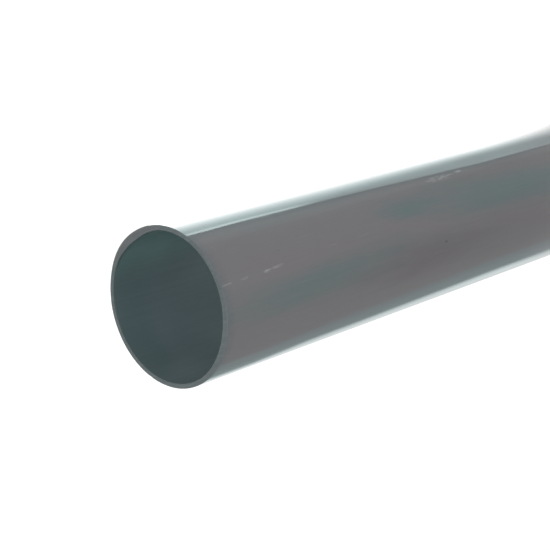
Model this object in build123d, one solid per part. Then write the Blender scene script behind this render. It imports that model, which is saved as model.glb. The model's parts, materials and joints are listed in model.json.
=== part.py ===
from build123d import *
import os

# A straight length of round rainwater downpipe, extruded in one piece.
# It stands on its lower end, with its axis along Z and the middle of that end at the origin.
# The upper end is the mouth that the photograph shows. All sizes are millimetres.

OUTSIDE_DIAMETER = 110.0
WALL_THICKNESS = 3.5
STOCK_LENGTH = 1000.0

# The saw leaves square ends, and their sharp corners are taken off.
OUTER_CORNER_RADIUS = 0.6
INNER_CORNER_BREAK = 0.4

OUTSIDE_RADIUS = OUTSIDE_DIAMETER / 2
BORE_RADIUS = OUTSIDE_RADIUS - WALL_THICKNESS


def end_edges(tube, radius):
    """Both end circles of the given radius."""
    circles = tube.edges().filter_by(GeomType.CIRCLE)
    return circles.filter_by(lambda edge: abs(edge.radius - radius) < WALL_THICKNESS / 4)


def make_pipe():
    """The pipe's ring section, drawn up along Z and trimmed at its ends."""
    section = Circle(OUTSIDE_RADIUS) - Circle(BORE_RADIUS)
    tube = extrude(section, amount=STOCK_LENGTH)
    tube = fillet(end_edges(tube, OUTSIDE_RADIUS), OUTER_CORNER_RADIUS)
    return chamfer(end_edges(tube, BORE_RADIUS), INNER_CORNER_BREAK)


os.makedirs("parts", exist_ok=True)
export_step(make_pipe(), "parts/pipe.step")
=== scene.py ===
"""A length of round grey PVC downpipe, standing on its end in a plain white studio.

The camera looks down into the upper mouth and is turned on its side, so that the pipe
runs away to the right, as in the photograph. All lengths are metres. Directions round the
pipe are degrees from -Y, the camera's side, towards +X, which is up in the photograph.
"""

import json
import math

import bpy
from mathutils import Matrix, Vector, noise


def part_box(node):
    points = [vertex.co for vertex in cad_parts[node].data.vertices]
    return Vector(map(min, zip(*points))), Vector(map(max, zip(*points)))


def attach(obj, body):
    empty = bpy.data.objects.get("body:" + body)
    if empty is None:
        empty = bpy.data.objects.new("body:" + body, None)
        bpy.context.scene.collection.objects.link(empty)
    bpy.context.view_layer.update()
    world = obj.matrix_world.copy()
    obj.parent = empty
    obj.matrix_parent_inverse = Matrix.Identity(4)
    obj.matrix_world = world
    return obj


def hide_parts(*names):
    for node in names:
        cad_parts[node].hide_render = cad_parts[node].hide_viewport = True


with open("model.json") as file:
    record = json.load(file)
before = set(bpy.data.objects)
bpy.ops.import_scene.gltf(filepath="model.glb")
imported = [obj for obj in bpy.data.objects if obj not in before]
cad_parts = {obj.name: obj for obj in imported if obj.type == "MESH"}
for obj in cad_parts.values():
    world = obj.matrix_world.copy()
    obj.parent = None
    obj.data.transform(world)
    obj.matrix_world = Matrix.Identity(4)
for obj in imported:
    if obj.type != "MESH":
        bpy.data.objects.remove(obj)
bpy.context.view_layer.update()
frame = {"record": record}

# The pipe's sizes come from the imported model.
LOW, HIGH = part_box("pipe")
MOUNTS = {mount["name"]: mount for mount in frame["record"]["mounts"]}
LENGTH = HIGH.z - LOW.z
OUTSIDE_RADIUS = (HIGH.x - LOW.x) / 2
BORE_RADIUS = MOUNTS["bore"]["dims"]["r_mm"] / 1000

# The wall's corners, a little smaller than the solid's.
OUTER_CORNER = 0.0004
INNER_CORNER = 0.00025

# Unevenness of the extruded wall and of the saw cuts. The cuts' fades out along the wall.
WALL_RIPPLE = 0.00006
CUT_RIPPLE = 0.00015
CUT_REACH = 0.002

# The saw left a lip of plastic at the mouth's inner edge: direction, spread in degrees and
# width. Where the width is below zero, the edge is pared back instead.
LIPS = [(103.0, 36.0, 0.00195), (-34.0, 50.0, 0.0011), (40.0, 42.0, -0.0005)]
LIP_RAGGED = 0.10

# The lip is this thick at its edge. Its underside slopes back to the bore over a depth that
# grows with its width, and the plain section has the lip's rows down to LIP_FOOT.
LIP_THICKNESS = 0.0008
LIP_SLOPE = 0.8
LEAST_SLOPE = 0.0001
LIP_FOOT = 0.0026

# How fine the noise in the wall, the cuts and the lip is. The seeds are the levels of the
# noise that the cuts and the lip are read at.
WALL_WAVES = 1.6
WALL_WAVES_ALONG = 4.5
CUT_WAVES = 3.0
CUT_SEED = 7.3
LIP_WAVES = 9.0
LIP_SEED = 1.7

# The saw pushed the mouth's outer edge out a little too. This burr fades down the outside.
BURR_AT = 120.0
BURR_SPREAD = 30.0
BURR_WIDTH = 0.0006
BURR_REACH = 0.005

# Knocks in the outer edge of the mouth: direction, width in degrees and depth.
NICKS = [
    (-52, 3.0, 0.00020),
    (31, 3.5, 0.00015),
    (76, 2.8, 0.00025),
    (160, 5.0, 0.00015),
    (228, 4.0, 0.00020),
]
NICK_REACH = 0.0014

# Mesh steps, and how far the first rows are from an end's corners.
STEPS_AROUND = 480
OUTER_STEPS = 48
BORE_STEPS = 20
CORNER_STEPS = 5
FACE_STEPS = 5
LIP_STEPS = 9
END_ROWS = (0.0002, 0.0006, 0.0012, 0.0025, 0.005, 0.010)

# The photograph's camera, fitted to the rim's ellipse and the pipe's outline, and the place
# of the mouth's middle as that camera sees it.
LENS_MM = 100.0
SENSOR_MM = 36.0
PITCH_DOWN = math.radians(45.53)
ROLL = math.radians(-107.45)
MOUTH_RIGHT = -0.07067
MOUTH_DOWN = 0.02126
MOUTH_AHEAD = 0.9979


def around(degrees, distance):
    """The point at that direction and distance from the pipe's axis."""
    angle = math.radians(degrees)
    return Vector((distance * math.sin(angle), -distance * math.cos(angle), 0.0))


def waves(degrees, fineness, along):
    """Smooth noise from -1 to 1 that runs round the pipe and changes along it."""
    x, y, _ = around(degrees, fineness)
    return noise.noise(Vector((x, y, along)))


def dent(degrees, fineness, along, deepest):
    """How deep an uneven surface dips there, from 0 to its deepest."""
    return deepest * (0.5 + 0.5 * waves(degrees, fineness, along))


def swell(degrees, centre, spread):
    """A smooth hump round the pipe: 1 at its centre and 0 from its spread outwards."""
    away = abs((degrees - centre + 180) % 360 - 180)
    return math.cos(math.pi / 2 * away / spread) ** 2 if away < spread else 0.0


def between(first, second, share):
    """The value that lies that share of the way from the first to the second."""
    return first + (second - first) * share


def corner_arc(centre_r, centre_z, size, start, end):
    """Points of a rounded corner in the wall's section, as (radius, height) pairs."""
    points = []
    for step in range(CORNER_STEPS + 1):
        angle = between(start, end, step / CORNER_STEPS)
        points.append((centre_r + size * math.cos(angle), centre_z + size * math.sin(angle)))
    return points


def inner_points(start, end, steps):
    """The points of a straight run, without its start and its end."""
    return [between(start, end, step / steps) for step in range(1, steps)]


def long_run(start, end, steps):
    """The inner points of a long straight run, with close rows next to both of its ends."""
    way = 1 if end > start else -1
    near = [start + way * gap for gap in END_ROWS]
    far = [end - way * gap for gap in reversed(END_ROWS)]
    return near + inner_points(near[-1], far[0], steps) + far


def wall_section():
    """The wall's closed section: up the outside, over the upper end, down the bore and back."""
    outer_r = OUTSIDE_RADIUS - OUTER_CORNER
    outer_low = OUTER_CORNER
    outer_high = LENGTH - OUTER_CORNER
    inner_r = BORE_RADIUS + INNER_CORNER
    inner_low = INNER_CORNER
    inner_high = LENGTH - INNER_CORNER
    lip_foot = LENGTH - LIP_FOOT
    lip_heights = inner_points(inner_high, lip_foot, LIP_STEPS) + [lip_foot]
    quarter = math.pi / 2
    rows = []

    def add(zone, points):
        rows.extend((zone, radius, height) for radius, height in points)

    add("corner", corner_arc(outer_r, outer_low, OUTER_CORNER, -quarter, 0))
    add("outside", [(OUTSIDE_RADIUS, z) for z in long_run(outer_low, outer_high, OUTER_STEPS)])
    add("corner", corner_arc(outer_r, outer_high, OUTER_CORNER, 0, quarter))
    add("end", [(r, LENGTH) for r in inner_points(outer_r, inner_r, FACE_STEPS)])
    add("lip", corner_arc(inner_r, inner_high, INNER_CORNER, quarter, 2 * quarter))
    add("under", [(BORE_RADIUS, z) for z in lip_heights])
    add("bore", [(BORE_RADIUS, z) for z in long_run(lip_foot, inner_low, BORE_STEPS)])
    add("bore", corner_arc(inner_r, inner_low, INNER_CORNER, 2 * quarter, 3 * quarter))
    add("end", [(r, 0.0) for r in inner_points(inner_r, outer_r, FACE_STEPS)])
    return rows


def fade(depth, reach):
    """A quick fade: 1 at the mouth, and 0 from that reach under it."""
    return max(0.0, 1 - depth / reach) ** 2


def eased(share):
    """A share from 0 to 1, made to start and end gently."""
    return share * share * (3 - 2 * share)


def outer_edge(degrees, depth):
    """How far the outside stands out at that depth under the mouth: the burr, less the knocks."""
    burr = BURR_WIDTH * swell(degrees, BURR_AT, BURR_SPREAD)
    knock = sum(deep * swell(degrees, direction, width) for direction, width, deep in NICKS)
    return burr * fade(depth, BURR_REACH) - knock * fade(depth, NICK_REACH)


def lip_width(degrees):
    """How far the saw's lip stands into the bore in that direction."""
    plain = sum(width * swell(degrees, direction, spread) for direction, spread, width in LIPS)
    return plain * (1 + LIP_RAGGED * waves(degrees, LIP_WAVES, LIP_SEED))


def under_lip(zone, lip, depth):
    """The depth of a point at the mouth's inner edge, and how much of the lip's width it has."""
    foot = LIP_THICKNESS + LIP_SLOPE * abs(lip) + LEAST_SLOPE
    if zone == "under":
        along = (depth - INNER_CORNER) / (LIP_FOOT - INNER_CORNER)
        depth = between(INNER_CORNER, foot, along)
    share = min(1.0, max(0.0, (foot - depth) / (foot - LIP_THICKNESS)))
    return depth, eased(share)


def relief(zone, degrees, radius, height):
    """The radius and height of a point of the wall, with its fine unevenness."""
    depth = LENGTH - height
    ripple = dent(degrees, WALL_WAVES, WALL_WAVES_ALONG * height, WALL_RIPPLE)
    if zone in ("outside", "corner"):
        radius += outer_edge(degrees, depth) - ripple
    elif zone in ("lip", "under"):
        lip = lip_width(degrees)
        depth, share = under_lip(zone, lip, depth)
        height = LENGTH - depth
        radius += ripple - lip * share
    elif zone == "bore":
        radius += ripple
    cut = dent(degrees, CUT_WAVES, CUT_SEED, CUT_RIPPLE)
    height -= cut * max(0.0, 1 - depth / CUT_REACH)
    height += cut * max(0.0, 1 - height / CUT_REACH)
    return radius, height


def face_zone(zone, following):
    """The material zone of the faces between two rows of the section."""
    if "outside" in (zone, following):
        return "outside"
    if {"bore", "under"} & {zone, following}:
        return "bore"
    return "end"


def wall_faces(rows):
    """The faces between each row of the section and the next, and each face's zone."""
    faces = []
    zones = []
    for row, (zone, _, _) in enumerate(rows):
        following = (row + 1) % len(rows)
        first = row * STEPS_AROUND
        second = following * STEPS_AROUND
        for step in range(STEPS_AROUND):
            after = (step + 1) % STEPS_AROUND
            faces.append((first + step, first + after, second + after, second + step))
            zones.append(face_zone(zone, rows[following][0]))
    return faces, zones


def make_pipe(materials):
    """The pipe's wall as one closed mesh, with the unevenness of extruded and sawn plastic."""
    rows = wall_section()
    vertices = []
    for zone, radius, height in rows:
        for step in range(STEPS_AROUND):
            degrees = 360 * step / STEPS_AROUND
            far, high = relief(zone, degrees, radius, height)
            vertices.append(around(degrees, far) + Vector((0, 0, high)))
    faces, zones = wall_faces(rows)
    mesh = bpy.data.meshes.new("pipe_wall")
    mesh.from_pydata(vertices, [], faces)
    for material in materials.values():
        mesh.materials.append(material)
    order = list(materials)
    mesh.polygons.foreach_set("material_index", [order.index(zone) for zone in zones])
    mesh.shade_smooth()
    mesh.validate()
    return add_object("pipe_wall", mesh)


def add_object(name, data):
    """A new object in the scene."""
    piece = bpy.data.objects.new(name, data)
    bpy.context.scene.collection.objects.link(piece)
    return piece


PLASTIC_IOR = 1.5


class Graph:
    """A short way to write a material's or the world's nodes."""

    def __init__(self, tree):
        self.tree = tree
        tree.nodes.clear()

    def add(self, kind, settings=None, **inputs):
        """A new node with its settings and inputs."""
        node = self.tree.nodes.new(kind)
        for name, value in (settings or {}).items():
            setattr(node, name, value)
        for name, value in inputs.items():
            self.feed(node, name, value)
        return node

    def feed(self, node, name, value):
        """Link or set an input. One that shares its name with others goes by number, as i6."""
        numbered = name[0] == "i" and name[1:].isdigit()
        socket = node.inputs[int(name[1:])] if numbered else node.inputs[name.replace("_", " ")]
        if isinstance(value, bpy.types.NodeSocket):
            self.tree.links.new(value, socket)
        elif socket.type == "RGBA":
            socket.default_value = (*value, 1.0)
        else:
            socket.default_value = value

    def finish(self, shader, kind="ShaderNodeOutputMaterial"):
        """The output node, with the shader as its surface."""
        self.add(kind, Surface=shader.outputs[0])

    def math(self, operation, first, second):
        return self.add("ShaderNodeMath", {"operation": operation}, i0=first, i1=second).outputs[0]

    def plus(self, first, second):
        return self.math("ADD", first, second)

    def times(self, first, second):
        return self.math("MULTIPLY", first, second)

    def length(self, vector):
        return self.add("ShaderNodeVectorMath", {"operation": "LENGTH"}, i0=vector).outputs["Value"]

    def upward(self, vector):
        """The vector's part along Z."""
        return self.add("ShaderNodeSeparateXYZ", Vector=vector).outputs["Z"]

    def place(self):
        """The shaded point in the object's own metres."""
        return self.add("ShaderNodeTexCoord").outputs["Object"]

    def move(self, vector, place=(0.0, 0.0, 0.0), turn=(0.0, 0.0, 0.0), scale=(1.0, 1.0, 1.0)):
        """The vector scaled, then turned, then moved."""
        inputs = {"Vector": vector, "Location": place, "Rotation": turn, "Scale": scale}
        return self.add("ShaderNodeMapping", **inputs).outputs["Vector"]

    def noise(self, vector, scale, detail=3.0, roughness=0.55):
        """Cloudy noise from 0 to 1, finer where the scale is larger."""
        inputs = {"Vector": vector, "Scale": scale, "Detail": detail, "Roughness": roughness}
        return self.add("ShaderNodeTexNoise", **inputs).outputs["Fac"]

    def remap(self, value, low, high, to_low=0.0, to_high=1.0):
        """A smooth step from one level to another while the value goes from low to high."""
        inputs = {"i0": value, "i1": low, "i2": high, "i3": to_low, "i4": to_high}
        settings = {"interpolation_type": "SMOOTHSTEP"}
        return self.add("ShaderNodeMapRange", settings, **inputs).outputs[0]

    def blend(self, share, first, second, kind="MIX"):
        """The first colour with that share of the second."""
        settings = {"data_type": "RGBA", "blend_type": kind}
        return self.add("ShaderNodeMix", settings, i0=share, i6=first, i7=second).outputs[2]

    def tint(self, share, colour, tint):
        """The colour, with that share of it multiplied by the tint."""
        return self.blend(share, colour, self.blend(1.0, colour, tint, "MULTIPLY"))

    def bump(self, heights, strength, distance):
        """The normal of a surface that those heights make uneven."""
        inputs = {"Height": heights, "Strength": strength, "Distance": distance}
        return self.add("ShaderNodeBump", **inputs).outputs["Normal"]

    def plastic(self, colour, roughness, normal):
        """A shader for PVC."""
        inputs = {"Base_Color": colour, "Roughness": roughness, "Normal": normal, "IOR": PLASTIC_IOR}
        return self.add("ShaderNodeBsdfPrincipled", **inputs)

    def seen(self):
        """1 for rays from the camera and from gloss, and 0 for those that only light things."""
        path = self.add("ShaderNodeLightPath")
        direct = self.math("MAXIMUM", path.outputs["Is Camera Ray"], path.outputs["Is Glossy Ray"])
        return self.math("MAXIMUM", direct, path.outputs["Is Transmission Ray"])

    def end_depth(self, place):
        """How far a point is from the nearer end of the pipe."""
        height = self.upward(place)
        return self.math("MINIMUM", height, self.math("SUBTRACT", LENGTH, height))

    def patch(self, place, spot, slant=0.0, ragged=0.4, solid=0.5):
        """A soft-edged patch on the wall: 1 in its middle and 0 past its edge.

        The spot is the patch's direction, height, half width and half height.
        """
        direction, height, half_width, half_height = spot
        faced = self.move(place, turn=(0, 0, -math.radians(direction)))
        shifted = self.move(faced, place=(0, OUTSIDE_RADIUS, -height))
        turned = self.move(shifted, turn=(0, math.radians(slant), 0))
        scaled = self.move(turned, scale=(1 / half_width, 1 / OUTSIDE_RADIUS, 1 / half_height))
        rough = self.times(self.noise(scaled, scale=2.0, detail=2.0), ragged)
        away = self.plus(self.length(scaled), rough)
        return self.remap(away, solid + ragged / 2, 1.0 + ragged / 2, to_low=1.0, to_high=0.0)


def new_material(name):
    """A material with an empty node tree, and the graph that fills it."""
    material = bpy.data.materials.new(name)
    material.use_nodes = True
    return material, Graph(material.node_tree)


# Colours of the outside, in linear light.
WARM_GREY = (0.1225, 0.1155, 0.1238)
COOL_GREY = (0.1195, 0.1168, 0.1232)
STREAK_GREY = (0.150, 0.150, 0.152)
RUB_AND_HIGHLIGHT_GREY = (0.25, 0.26, 0.26)
SCRATCH_GREY = (0.26, 0.27, 0.27)
SPECK_GREY = (0.05, 0.05, 0.055)
DUST = (0.205, 0.195, 0.180)

# How much a scratch and a speck show, and the roughness that a scratch adds.
SCRATCH_SHARE = 0.15
SPECK_SHARE = 0.4
SCRATCH_ROUGHNESS = 0.15

# Painted shade: the plastic is painted darker and greener next to both ends. It fades out
# between these depths.
END_SHADE_SHARE = 0.7
END_SHADE_TINT = (0.71, 0.86, 0.88)
END_SHADE_START = 0.002
END_SHADE_END = 0.013
END_SHADE_RAGGED = 0.006

# Dust lies at the pipe's foot, and thins out between these heights.
DUST_SHARE = 0.32
DUST_START = 0.035
DUST_END = 0.090
DUST_RAGGED = 0.09
DUST_ROUGHNESS = 0.8

# Faint stains on the outside, and one dark speck among them: direction, height, half width
# and half height, slant in degrees, and the tint that the plastic's colour is multiplied by.
STAINS = [
    ((-14.7, 0.908, 0.0185, 0.143), 2.0, (0.71, 0.99, 0.94)),
    ((-22, 0.776, 0.022, 0.125), 0.0, (0.83, 0.82, 0.85)),
    ((9.5, 0.655, 0.022, 0.215), -3.0, (0.65, 0.99, 0.95)),
    ((18.0, 0.793, 0.014, 0.050), -3.0, (0.76, 0.99, 0.96)),
    ((41, 0.900, 0.012, 0.120), 0.0, (0.92, 1.00, 0.99)),
    ((-16.0, 0.7653, 0.0012, 0.0030), 0.0, (0.56, 0.56, 0.58)),
    ((128, 0.62, 0.020, 0.160), -2.0, (0.82, 0.97, 0.94)),
    ((205, 0.84, 0.016, 0.120), 0.0, (0.86, 0.90, 0.93)),
    ((262, 0.33, 0.022, 0.150), 2.0, (0.80, 0.98, 0.95)),
    ((60, 0.22, 0.020, 0.120), -1.0, (0.84, 0.92, 0.93)),
]

# Pale rubbed lines on the outside, and a painted highlight, which is the three lines at 35 to
# 37 degrees: direction, height, half width and half height, slant in degrees, and how pale the
# line is.
RUBS_AND_HIGHLIGHT = [
    ((2.4, 0.995, 0.0009, 0.008), 4.0, 0.5),
    ((3.2, 0.978, 0.0012, 0.005), 3.0, 0.5),
    ((3.4, 0.956, 0.0014, 0.0045), 3.0, 0.85),
    ((4.3, 0.946, 0.0014, 0.008), 3.0, 0.45),
    ((7.3, 0.8875, 0.0008, 0.010), 1.0, 0.13),
    ((7.4, 0.854, 0.0008, 0.010), 1.0, 0.13),
    # Painted highlight: a pale smudge.
    ((35.3, 0.742, 0.0038, 0.019), 0.0, 0.6),
    ((36.0, 0.729, 0.0011, 0.012), 0.0, 0.5),
    ((36.7, 0.7155, 0.0016, 0.007), 0.0, 1.1),
    ((96, 0.52, 0.0009, 0.040), 3.0, 0.4),
    ((99, 0.61, 0.0007, 0.025), 1.0, 0.4),
    ((187, 0.90, 0.0010, 0.050), -4.0, 0.4),
    ((176, 0.44, 0.0009, 0.030), -2.0, 0.5),
    ((248, 0.60, 0.0008, 0.060), 2.0, 0.4),
    ((301, 0.30, 0.0010, 0.045), -3.0, 0.4),
]


def extruded_colour(graph, place, streaks):
    """The outside's clouded grey, with its stains and its faint streaks along the pipe."""
    clouds = graph.noise(graph.move(place, scale=(1, 1, 0.35)), scale=22.0, detail=2.0)
    colour = graph.blend(graph.remap(clouds, low=0.35, high=0.65), WARM_GREY, COOL_GREY)
    for spot, slant, tint in STAINS:
        stain = graph.patch(place, spot, slant, ragged=0.9, solid=0.1)
        colour = graph.tint(stain, colour, tint)
    return graph.blend(graph.remap(streaks, low=0.3, high=0.75, to_high=0.10), colour, STREAK_GREY)


def rubs_and_highlight_colour(graph, place, colour):
    """The colour with the pale rubbed lines and the painted highlight on it, each broken up by fine
    noise.
    """
    breaks = graph.noise(graph.move(place, scale=(1, 1, 0.18)), scale=1100.0)
    for spot, slant, pale in RUBS_AND_HIGHLIGHT:
        pale_mark = graph.patch(place, spot, slant, ragged=1.0, solid=0.2)
        broken = graph.remap(breaks, low=0.38, high=0.58, to_low=0.15 * pale, to_high=pale)
        colour = graph.blend(graph.times(pale_mark, broken), colour, RUB_AND_HIGHLIGHT_GREY)
    return colour


def end_shade_colour(graph, place, colour):
    """The colour with painted shade, darker and greener, next to both ends."""
    ragged = graph.times(graph.noise(place, scale=180.0, detail=2.0), END_SHADE_RAGGED)
    depth = graph.plus(graph.end_depth(place), ragged)
    end_shade = graph.remap(depth, END_SHADE_START, END_SHADE_END, to_low=END_SHADE_SHARE, to_high=0.0)
    return graph.tint(end_shade, colour, END_SHADE_TINT)


def hairline_scratches(graph, place):
    """1 on the hairline scratches, which lean a little off the pipe's axis, and 0 between."""
    leaning = graph.move(place, turn=(0.05, 0.03, 0), scale=(1, 1, 0.012))
    hairs = graph.noise(leaning, scale=1900.0, detail=2.0)
    return graph.remap(hairs, low=0.70, high=0.76)


def dust_at_foot(graph, place):
    """How much dust hides the plastic: most at the pipe's foot, with a ragged upper edge."""
    splash = graph.noise(graph.move(place, scale=(1, 1, 0.4)), scale=55.0, detail=4.0, roughness=0.7)
    height = graph.plus(graph.upward(place), graph.times(splash, DUST_RAGGED))
    return graph.remap(height, DUST_START, DUST_END, to_low=DUST_SHARE, to_high=0.0)


def outside_material():
    """Extruded PVC: even glossy grey with faint stains, rubbed lines, hairline scratches, a painted
    highlight and painted shade next to the ends.
    """
    material, graph = new_material("pvc_outside")
    place = graph.place()
    streaks = graph.noise(graph.move(place, scale=(1, 1, 0.02)), scale=700.0)
    scratches = hairline_scratches(graph, place)
    specks = graph.remap(graph.noise(place, scale=420.0, detail=1.0), low=0.765, high=0.80)
    dust = dust_at_foot(graph, place)

    colour = extruded_colour(graph, place, streaks)
    # Pale rubbed lines, and a painted highlight.
    colour = rubs_and_highlight_colour(graph, place, colour)
    # Painted shade next to both ends.
    colour = end_shade_colour(graph, place, colour)
    colour = graph.blend(graph.times(scratches, SCRATCH_SHARE), colour, SCRATCH_GREY)
    colour = graph.blend(graph.times(specks, SPECK_SHARE), colour, SPECK_GREY)
    colour = graph.blend(dust, colour, DUST)

    rough = graph.remap(streaks, low=0.3, high=0.7, to_low=0.075, to_high=0.10)
    rough = graph.plus(rough, graph.times(scratches, SCRATCH_ROUGHNESS))
    rough = graph.plus(rough, graph.times(dust, DUST_ROUGHNESS))
    peel = graph.noise(place, scale=320.0, detail=2.0)
    heights = graph.plus(graph.times(peel, 0.6), graph.times(streaks, 0.4))
    normal = graph.bump(heights, strength=0.12, distance=0.00004)
    graph.finish(graph.plastic(colour, rough, normal))
    return material


# Colours of the sawn ends, in linear light: between and on the saw's marks, the same on the
# purple side, then the grime, the rubbed outer edge and the painted shade at the inner corner.
SAWN_DARK = (0.041, 0.054, 0.056)
SAWN_PALE = (0.059, 0.0725, 0.0745)
PURPLE_DARK = (0.048, 0.0525, 0.055)
PURPLE_PALE = (0.0615, 0.067, 0.071)
END_GRIME = (0.051, 0.062, 0.062)
RUBBED_EDGE = (0.076, 0.087, 0.089)
INNER_CORNER_SHADE = (0.026, 0.034, 0.036)

# The mouth's end is tinged purple on one side, and is a little duller next to it.
PURPLE_SPOT = (104.0, LENGTH, 0.038, 0.038)
DULL_SPOT = (168.0, LENGTH, 0.055, 0.055)
DULL_TINT = (0.90, 0.93, 0.91)

# Painted shade: the end is painted darker next to the bore where it doesn't face up, where the
# mouth's inner corner rounds over and under the lower end. A soft edge of this width in the
# middle of the wall keeps it off the outer corner.
CORNER_FADE = 0.0008


def sawn_colour(graph, place, marks):
    """The end's grey with the saw's marks, its purple and dull sides, and grime."""
    sawn = graph.remap(marks, low=0.38, high=0.62)
    tone = graph.blend(sawn, SAWN_DARK, SAWN_PALE)
    purple = graph.patch(place, PURPLE_SPOT, ragged=0.3, solid=0.6)
    tone = graph.blend(purple, tone, graph.blend(sawn, PURPLE_DARK, PURPLE_PALE))
    clouds = graph.noise(place, scale=60.0, detail=2.0)
    tone = graph.blend(graph.remap(clouds, low=0.42, high=0.65, to_high=0.35), tone, END_GRIME)
    dull = graph.patch(place, DULL_SPOT, ragged=0.3, solid=0.6)
    return graph.tint(dull, tone, DULL_TINT)


def rubbed_edge(graph, place, radius, tone):
    """The tone with the paler outer edge, which handling has rubbed unevenly."""
    edge = graph.remap(radius, OUTSIDE_RADIUS - 2 * OUTER_CORNER, OUTSIDE_RADIUS - OUTER_CORNER / 4)
    rubbing = graph.noise(place, scale=240.0, detail=2.0)
    uneven = graph.remap(rubbing, low=0.3, high=0.6, to_low=0.5)
    return graph.blend(graph.times(edge, uneven), tone, RUBBED_EDGE)


def painted_corner_shade(graph, radius, tone):
    """The tone with painted shade next to the bore, where the end turns away from facing up."""
    facing_up = graph.upward(graph.add("ShaderNodeNewGeometry").outputs["Normal"])
    middle = (OUTSIDE_RADIUS + BORE_RADIUS) / 2
    half = CORNER_FADE / 2
    inner = graph.remap(radius, middle - half, middle + half, to_low=1.0, to_high=0.0)
    turned_down = graph.remap(facing_up, low=0.35, high=0.95, to_low=0.85, to_high=0.0)
    return graph.blend(graph.times(inner, turned_down), tone, INNER_CORNER_SHADE)


def end_material():
    """The sawn end: matt, with the saw's straight fine marks, a paler, rubbed outer edge and painted
    shade at the inner corner.
    """
    material, graph = new_material("pvc_end")
    place = graph.place()
    drawn_out = graph.move(place, turn=(0, 0, 0.6), scale=(1.0, 0.03, 1.0))
    marks = graph.noise(drawn_out, scale=1100.0, detail=4.0, roughness=0.65)
    radius = graph.length(graph.move(place, scale=(1, 1, 0)))
    tone = sawn_colour(graph, place, marks)
    tone = rubbed_edge(graph, place, radius, tone)
    # Painted shade at the inner corner and under the lower end.
    tone = painted_corner_shade(graph, radius, tone)
    normal = graph.bump(marks, strength=0.4, distance=0.00015)
    shader = graph.plastic(tone, roughness=0.65, normal=normal)
    graph.feed(shader, "Specular IOR Level", 0.25)
    graph.finish(shader)
    return material


# Colours of the bore, in linear light.
BORE_GREEN = (0.073, 0.105, 0.108)
BORE_BLUE = (0.075, 0.103, 0.115)
BORE_STREAK = (0.130, 0.160, 0.165)
BORE_DUST = (0.22, 0.24, 0.24)

# Painted light: away from the ends the bore is painted paler, standing in for the light that
# falls off deeper in. The change lies between these depths.
BORE_LIGHT_TINT = (1.46, 1.43, 1.38)
BORE_LIGHT_START = 0.04
BORE_LIGHT_END = 0.12

# Stains in the bore, written as the outside's stains are, but without a slant. Near the mouth
# the paler patches at 106 and 253 degrees are painted light, and the darker ones at 212 and
# 163 degrees are painted shade.
BORE_STAINS_AND_PAINTED_LIGHT = [
    ((106, 0.965, 0.045, 0.080), (1.24, 1.50, 1.38)),
    ((-60, 0.60, 0.030, 0.200), (1.15, 1.25, 1.20)),
    ((200, 0.30, 0.030, 0.180), (0.85, 0.95, 0.95)),
    ((253, 0.965, 0.034, 0.055), (1.30, 1.26, 1.26)),
    ((212, 0.992, 0.042, 0.032), (0.88, 0.91, 0.90)),
    ((163, 0.986, 0.070, 0.030), (0.88, 0.92, 0.92)),
]


def bore_material():
    """The inside of the pipe: a darker, bluer grey with long faint streaks and a little dust,
    painted paler deeper in, with painted light and shade near the mouth.
    """
    material, graph = new_material("pvc_bore")
    place = graph.place()
    streaks = graph.noise(graph.move(place, scale=(1, 1, 0.02)), scale=500.0)
    clouds = graph.noise(graph.move(place, scale=(1, 1, 0.4)), scale=24.0, detail=2.0)
    tone = graph.blend(clouds, BORE_GREEN, BORE_BLUE)
    tone = graph.blend(graph.remap(streaks, low=0.35, high=0.75, to_high=0.12), tone, BORE_STREAK)
    # Stains, and painted light and shade near the mouth.
    for spot, tint in BORE_STAINS_AND_PAINTED_LIGHT:
        tone = graph.tint(graph.patch(place, spot, ragged=0.5, solid=0.2), tone, tint)
    # Painted light: the bore is made paler deeper in.
    inside = graph.remap(graph.end_depth(place), BORE_LIGHT_START, BORE_LIGHT_END)
    tone = graph.tint(inside, tone, BORE_LIGHT_TINT)
    dust = graph.noise(place, scale=900.0, detail=1.0)
    tone = graph.blend(graph.remap(dust, low=0.72, high=0.78, to_high=0.25), tone, BORE_DUST)
    normal = graph.bump(streaks, strength=0.1, distance=0.00006)
    graph.finish(graph.plastic(tone, roughness=0.45, normal=normal))
    return material


# The surround is four glowing sheets close round the pipe that show only in its gloss. Their
# light is given at these heights.
SURROUND_RADIUS = 0.33
SURROUND_HEIGHTS = (0.28, 0.51, 0.55, 0.585, 0.66)

# From FOOT_FADE down to its foot the surround's light changes to the floor's level. From
# TOP_FADE up to its top, light that is brighter than the floor falls to TOP_SHARE of itself,
# but not below the floor's level.
SURROUND_FOOT = 0.002
FOOT_FADE = 0.24
TOP_FADE = 0.74
SURROUND_TOP = 0.97
FLOOR_LEVEL = 1.0
TOP_SHARE = 0.6


def straight_stop(degrees, levels, red=1.0):
    """A stop with one direction at all heights."""
    return (degrees,) * len(SURROUND_HEIGHTS), levels, red


def even_stop(degrees, level, red=1.0):
    """A stop with one direction and one level at all heights."""
    return straight_stop(degrees, (level,) * len(SURROUND_HEIGHTS), red)


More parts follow.
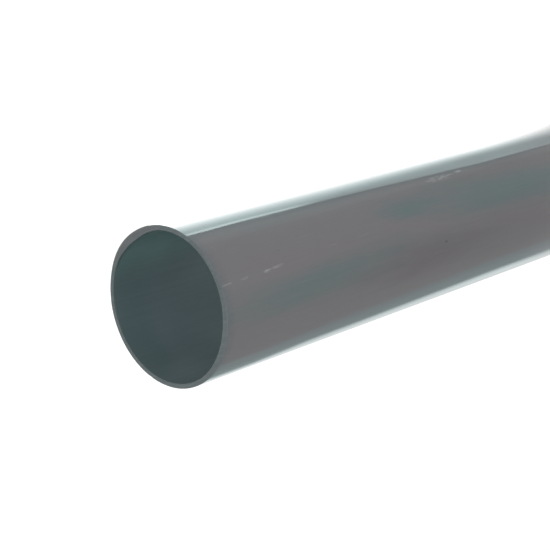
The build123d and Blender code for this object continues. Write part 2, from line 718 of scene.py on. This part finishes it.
# Each sheet runs from its first stop to its last, in steps between them. A stop gives the
# directions and the levels at the surround's heights, low first, and the light's red share.
STOP_STEPS = 8
SOFTBOX = [
    ((74.0, 83.3, 84.9, 85.8, 87.8), (2.15, 1.85, 2.00, 5.10, 5.50), 0.84),
    ((76.8, 86.0, 87.1, 88.8, 91.0), (1.95, 1.80, 2.10, 3.80, 4.80), 0.80),
    ((79.5, 87.8, 89.0, 90.0, 92.5), (1.80, 1.95, 2.25, 2.45, 3.00), 0.75),
    ((91.5, 94.0, 94.8, 95.5, 97.0), (1.58, 2.60, 2.80, 2.95, 3.05), 0.78),
    ((98.0, 101.0, 101.8, 102.5, 104.0), (2.20, 3.35, 3.43, 3.50, 3.85), 0.84),
    ((110.0, 111.0, 111.5, 112.0, 113.0), (3.95, 4.50, 4.58, 4.65, 4.85), 0.94),
    ((120.0, 121.0, 121.3, 121.5, 122.0), (4.80, 5.20, 5.25, 5.30, 5.40), 1.00),
    even_stop(142, 5.5),
    even_stop(160, 4.2),
    even_stop(175, 2.2),
    even_stop(188, 0.95),
]
FRONT_CARD = [
    ((-90.5, -98.5, -100.1, -101.5, -107.5), (0.62, 0.60, 0.60, 0.59, 0.58), 0.95),
    straight_stop(-84, (0.60, 0.63, 0.65, 0.66, 0.68), 0.98),
    straight_stop(-70, (0.60, 0.66, 0.68, 0.70, 0.74)),
    straight_stop(-40, (0.62, 0.72, 0.75, 0.78, 0.84)),
    straight_stop(0, (0.76, 0.85, 0.88, 0.91, 0.97)),
    straight_stop(30, (0.86, 0.93, 0.94, 0.94, 0.95)),
    straight_stop(58, (0.74, 0.91, 0.94, 0.96, 1.00), 0.95),
    ((66.0, 70.0, 71.1, 72.0, 74.0), (0.86, 1.08, 1.13, 1.17, 1.22), 0.90),
    ((70.5, 79.3, 80.9, 81.8, 83.8), (0.76, 0.84, 0.88, 0.91, 0.96), 0.80),
    ((74.0, 83.3, 84.9, 85.8, 87.8), (0.40, 0.42, 0.44, 0.45, 0.50), 0.55),
]
DULL_CARD = [
    ((-118.0, -125.0, -125.3, -125.5, -134.0), (0.66, 0.64, 0.64, 0.63, 0.62), 0.76),
    ((-90.5, -98.5, -100.1, -101.5, -107.5), (0.74, 0.72, 0.72, 0.72, 0.72), 0.78),
]
WHITE_CARD = [
    even_stop(-172, 0.95),
    even_stop(-166, 0.85, 0.95),
    straight_stop(-158, (0.85, 1.00, 1.03, 1.05, 1.10), 0.95),
    ((-144.0, -146.0, -146.5, -147.0, -150.0), (1.20, 1.25, 1.28, 1.30, 1.30), 0.92),
    ((-132.0, -136.0, -136.5, -137.0, -144.0), (1.68, 1.50, 1.47, 1.45, 1.25), 0.89),
    ((-124.0, -130.0, -130.5, -131.0, -139.5), (1.50, 1.30, 1.27, 1.25, 1.00), 0.87),
    ((-118.0, -125.0, -125.3, -125.5, -134.0), (0.70, 0.66, 0.65, 0.64, 0.62), 0.80),
]


def mixed_stop(first, second, share):
    """The stop that lies that share of the way from the first to the second."""
    directions = [between(a, b, share) for a, b in zip(first[0], second[0])]
    levels = [between(a, b, share) for a, b in zip(first[1], second[1])]
    return directions, levels, between(first[2], second[2], share)


def surround_columns(stops):
    """The stops and the steps between them, which are a sheet's upright columns."""
    columns = []
    for first, second in zip(stops, stops[1:]):
        columns.extend(mixed_stop(first, second, step / STOP_STEPS) for step in range(STOP_STEPS))
    return columns + [stops[-1]]


def surround_rows(column):
    """A column's direction, height and light at each row, from the sheet's foot to its top."""
    directions, levels, red = column
    top_level = max(min(levels[-1], FLOOR_LEVEL), TOP_SHARE * levels[-1])
    heights = (SURROUND_FOOT, FOOT_FADE, *SURROUND_HEIGHTS, TOP_FADE, SURROUND_TOP)
    directions = (directions[0], directions[0], *directions, directions[-1], directions[-1])
    levels = (FLOOR_LEVEL, levels[0], *levels, levels[-1], top_level)
    reds = (1.0,) + (red,) * (len(heights) - 1)
    lights = [(level * share, level, level, 1.0) for level, share in zip(levels, reds)]
    return list(zip(directions, heights, lights))


def glowing_material(name):
    """A material that glows with the light that its mesh gives each point."""
    material, graph = new_material(name)
    light = graph.add("ShaderNodeAttribute", {"attribute_name": "light"}).outputs["Color"]
    graph.finish(graph.add("ShaderNodeEmission", Color=light))
    return material


def sheet_mesh(name, columns):
    """The mesh through a sheet's columns, with the light that each of its points gives."""
    tall = len(columns[0])
    vertices = []
    lights = []
    for column in columns:
        for degrees, height, light in column:
            vertices.append(around(degrees, SURROUND_RADIUS) + Vector((0, 0, height)))
            lights.extend(light)
    faces = []
    for index in range(len(columns) - 1):
        for row in range(tall - 1):
            corner = tall * index + row
            faces.append((corner, corner + tall, corner + tall + 1, corner + 1))
    mesh = bpy.data.meshes.new(name)
    mesh.from_pydata(vertices, [], faces)
    layer = mesh.attributes.new("light", "FLOAT_COLOR", "POINT")
    layer.data.foreach_set("color", lights)
    return mesh


def make_surround(name, stops):
    """One sheet of the surround, from its first stop to its last."""
    mesh = sheet_mesh(name, [surround_rows(column) for column in surround_columns(stops)])
    mesh.materials.append(glowing_material(name))
    sheet = add_object(name, mesh)
    sheet.visible_camera = False
    sheet.visible_diffuse = False
    sheet.visible_shadow = False


# The floor's half size, its grey, and the distances between which it fades to pure white.
FLOOR_HALF = 12.0
FLOOR_GREY = (0.5, 0.5, 0.5)
FADE_START = 0.8
FADE_END = 3.0


def floor_material(glow):
    """Plain grey that takes a shadow, and glows to the eye so that it looks white."""
    material, graph = new_material("floor")
    plain = graph.add("ShaderNodeBsdfDiffuse", Color=FLOOR_GREY)
    level = graph.remap(graph.length(graph.place()), FADE_START, FADE_END, glow, 1.0)
    shine = graph.add("ShaderNodeEmission", Strength=graph.times(graph.seen(), level))
    graph.finish(graph.add("ShaderNodeAddShader", i0=plain.outputs[0], i1=shine.outputs[0]))
    return material


def make_floor(glow):
    """A white floor that takes the pipe's soft shadow and fades to pure white far off."""
    mesh = bpy.data.meshes.new("floor")
    sides = ((-1, -1), (1, -1), (1, 1), (-1, 1))
    corners = [(FLOOR_HALF * x, FLOOR_HALF * y, 0) for x, y in sides]
    mesh.from_pydata(corners, [], [(0, 1, 2, 3)])
    mesh.materials.append(floor_material(glow))
    add_object("floor", mesh)


def make_world(ambient):
    """Even white light from all round, and a white background."""
    world = bpy.data.worlds.new("studio")
    bpy.context.scene.world = world
    world.use_nodes = True
    graph = Graph(world.node_tree)
    strength = graph.plus(ambient, graph.times(graph.seen(), 1.0 - ambient))
    background = graph.add("ShaderNodeBackground", Color=(1, 1, 1), Strength=strength)
    graph.finish(background, "ShaderNodeOutputWorld")


# How far off the lamps are, and the point of the pipe that they aim at.
LAMP_DISTANCE = 4.0
LAMP_TARGET = Vector((0, 0, 0.8 * LENGTH))


def make_lamp(name, degrees, elevation, level, size):
    """A soft round lamp far off. A sheet that faces it is lit to that level, where 1 is white."""
    data = bpy.data.lights.new(name, "AREA")
    data.shape = "DISK"
    data.size = size
    data.energy = level * (math.pi * LAMP_DISTANCE) ** 2
    rise = math.radians(elevation)
    outward = around(degrees, LAMP_DISTANCE * math.cos(rise))
    lamp = add_object(name, data)
    lamp.location = LAMP_TARGET + outward + Vector((0, 0, LAMP_DISTANCE * math.sin(rise)))
    lamp.rotation_euler = (LAMP_TARGET - lamp.location).to_track_quat("-Z", "Y").to_euler()
    lamp.visible_camera = False


def make_camera():
    """The camera looks along +Y and down, and is rolled so that +X is up in the picture."""
    data = bpy.data.cameras.new("camera")
    data.lens = LENS_MM
    data.sensor_width = SENSOR_MM
    data.clip_start = 0.01
    camera = add_object("camera", data)
    turn = Matrix.Rotation(math.pi / 2 - PITCH_DOWN, 4, "X") @ Matrix.Rotation(ROLL, 4, "Z")
    mouth = Vector((0, 0, HIGH.z))
    seen = turn.to_3x3() @ Vector((MOUTH_RIGHT, -MOUTH_DOWN, -MOUTH_AHEAD))
    camera.matrix_world = Matrix.Translation(mouth - seen) @ turn
    bpy.context.scene.camera = camera


make_camera()
pipe = make_pipe({"outside": outside_material(), "end": end_material(), "bore": bore_material()})
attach(pipe, "root")
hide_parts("pipe")

make_floor(glow=0.45)
make_world(ambient=0.30)
make_lamp("left_key", degrees=-52, elevation=56, level=0.33, size=1.6)
make_lamp("front_key", degrees=0, elevation=59, level=0.78, size=1.6)
make_lamp("right_key", degrees=66, elevation=57, level=0.42, size=1.6)
make_lamp("fill", degrees=180, elevation=15, level=0.4, size=2.0)
make_surround("softbox", SOFTBOX)
make_surround("front_card", FRONT_CARD)
make_surround("dull_card", DULL_CARD)
make_surround("white_card", WHITE_CARD)

bpy.context.scene.view_settings.view_transform = "Standard"
